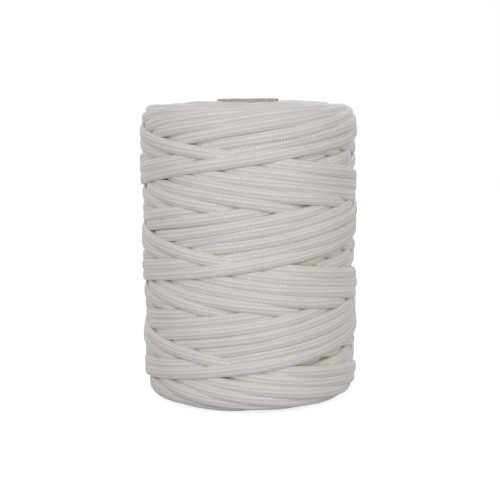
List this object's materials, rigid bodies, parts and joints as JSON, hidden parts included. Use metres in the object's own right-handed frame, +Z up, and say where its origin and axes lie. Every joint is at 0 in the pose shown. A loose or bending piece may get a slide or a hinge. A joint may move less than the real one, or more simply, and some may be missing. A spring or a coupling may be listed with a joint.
{
  "type": "string reel",
  "caption": "Cross-wound package of white braided cord on a plain open paper tube without flanges, to stand on its end or spin on a rod.",
  "frame": {"origin": "centre of the tube's lower rim, on the surface that the reel stands on", "axes": "+Z up along the tube's axis, -Y towards the viewer of the picture, +X to the viewer's right"},
  "size_m": [0.0666, 0.0666, 0.091],
  "materials": {
    "kraft_tube": "matt spiral-wound kraft paper, cut rims",
    "braided_cord": "soft satin white synthetic braid"
  },
  "bodies": {
    "root": {"core_tube": "kraft_tube", "inner_winding": "braided_cord", "outer_winding": "braided_cord"}
  },
  "joints": []
}
